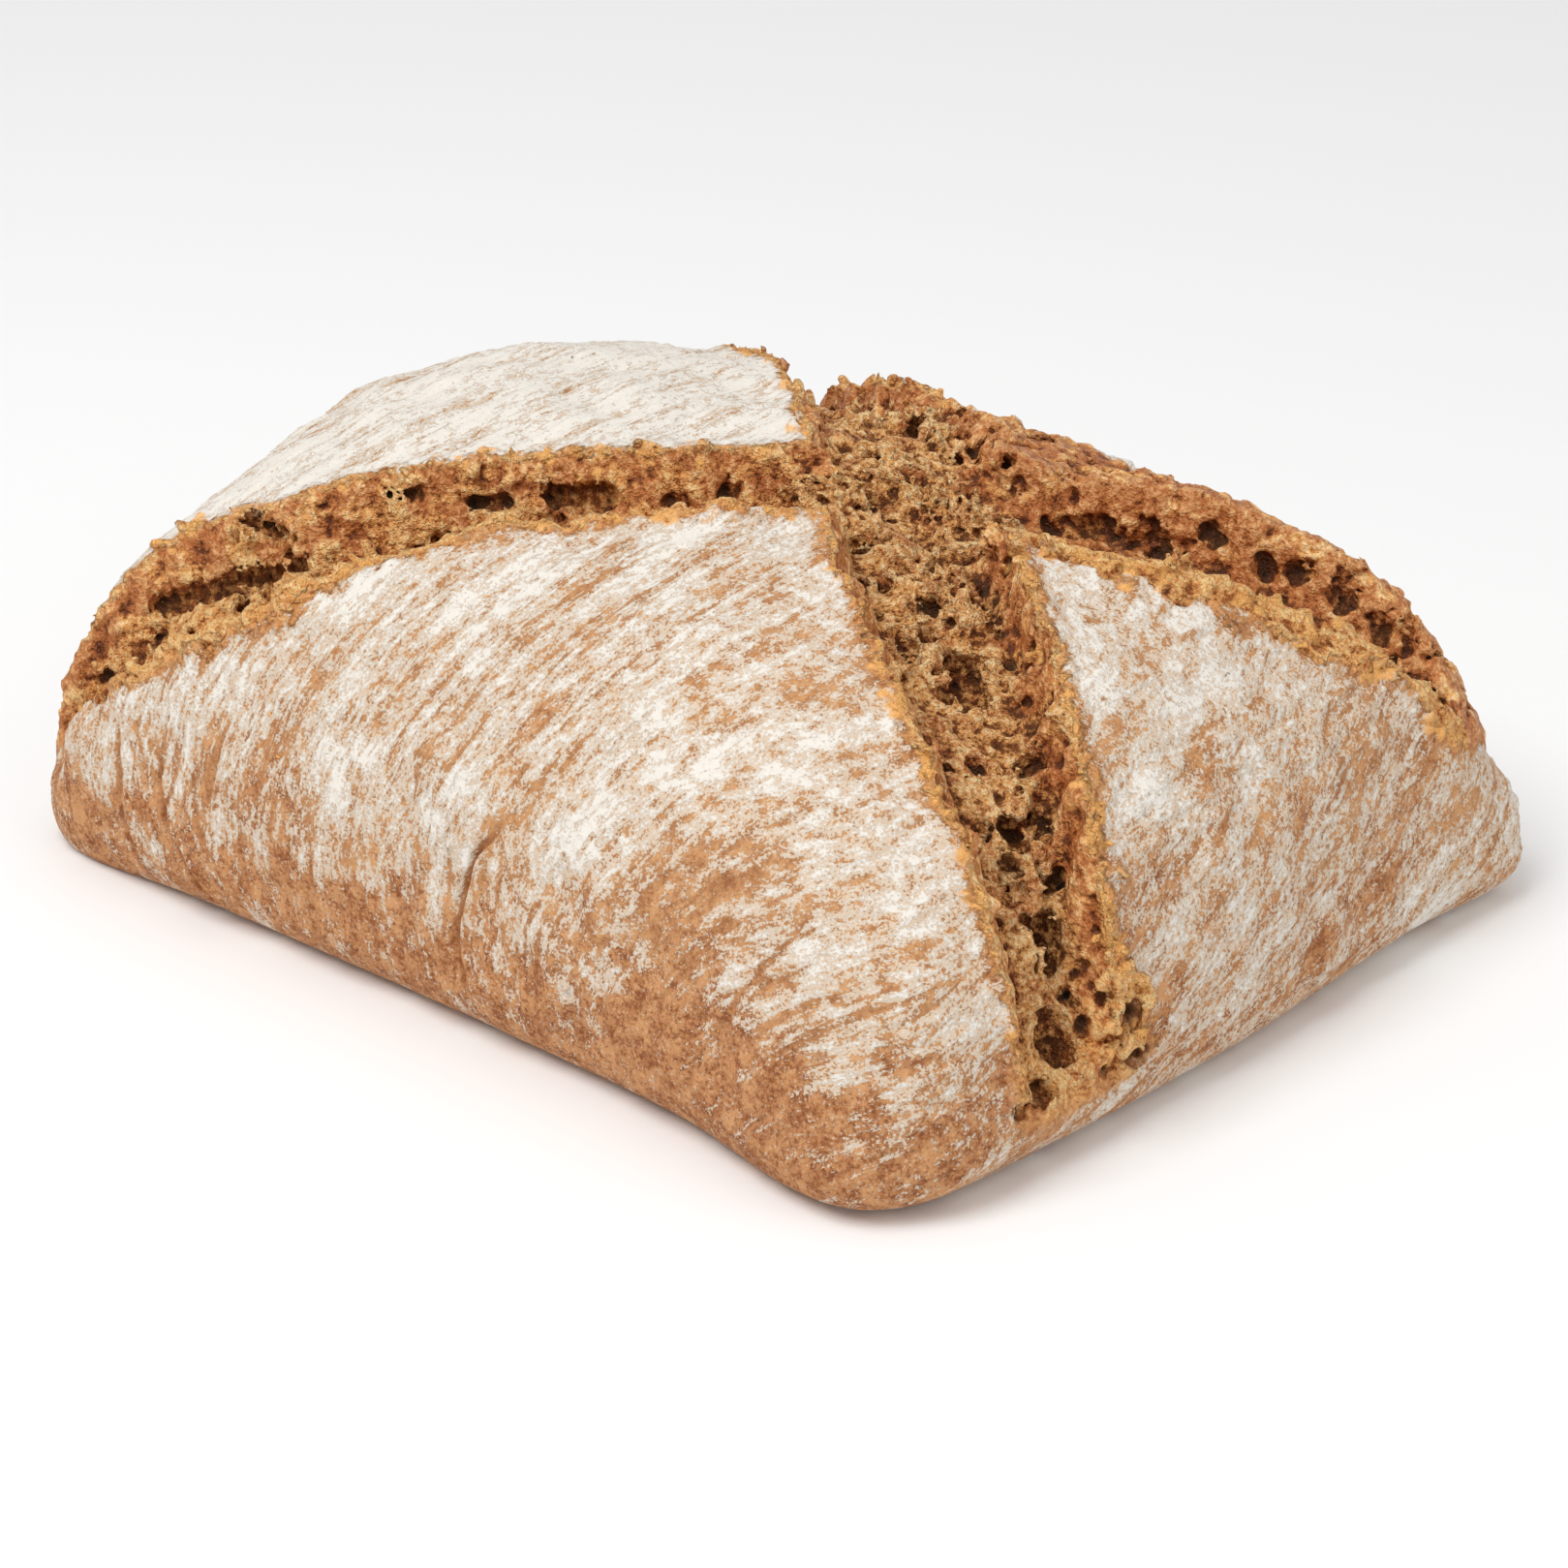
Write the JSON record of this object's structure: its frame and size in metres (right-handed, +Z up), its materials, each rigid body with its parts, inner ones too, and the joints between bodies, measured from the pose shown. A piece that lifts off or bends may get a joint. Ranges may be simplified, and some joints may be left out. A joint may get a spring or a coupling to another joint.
{
  "type": "sourdough loaf",
  "caption": "Whole floured sourdough loaf, a low pillow with blunt feet, scored with a cross that tore open to show brown crumb.",
  "frame": {"origin": "under the middle of the loaf's box, on the surface it rests on", "axes": "+X along the loaf's longer front side, from its left toe to its front toe, +Y from the front side towards the back, +Z up"},
  "size_m": [0.2428, 0.1844, 0.0848],
  "materials": {
    "crust": "baked brown crust dusted with flour, dry and matte, torn brown crumb in the cuts"
  },
  "bodies": {
    "root": {"loaf": "crust"}
  },
  "joints": []
}
